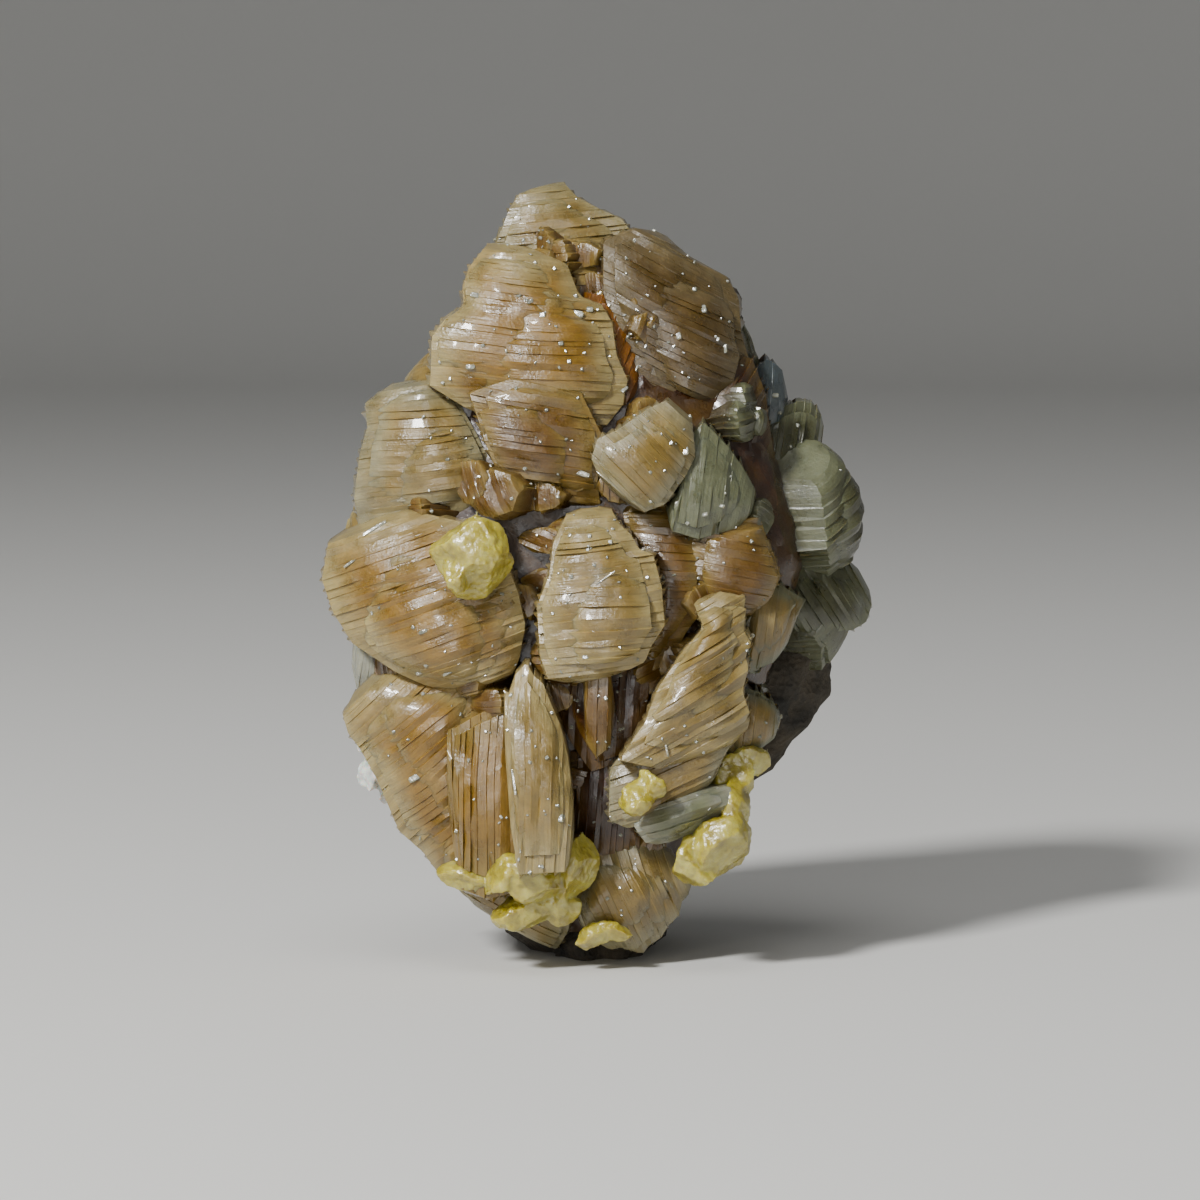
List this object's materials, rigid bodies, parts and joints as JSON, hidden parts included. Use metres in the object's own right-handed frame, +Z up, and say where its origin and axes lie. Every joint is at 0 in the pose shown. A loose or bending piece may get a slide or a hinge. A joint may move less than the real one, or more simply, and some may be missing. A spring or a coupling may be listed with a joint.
{
  "type": "barite crystal specimen",
  "caption": "Hand specimen of tan crested barite fans with yellow sulphur crystals on a dark rock matrix, standing on the rock's flat foot.",
  "frame": {"origin": "centre of the footprint of the bounding box, on the surface that the specimen stands on", "axes": "+Z up, the crystal-covered front faces -Y, +X to the right of someone who looks at the front"},
  "size_m": [0.0553, 0.0406, 0.0774],
  "materials": {
    "barite": "glassy translucent crystal",
    "matrix": "rough broken rock",
    "sulphur": "resinous translucent crystal",
    "white_chip": "chalky"
  },
  "bodies": {
    "root": {"barite_crests": "barite", "matrix_rock": "matrix", "sulphur_left": "sulphur", "sulphur_small": "sulphur", "sulphur_right": "sulphur", "sulphur_lower": "sulphur", "sulphur_foot": "sulphur", "white_chip": "white_chip"}
  },
  "joints": []
}
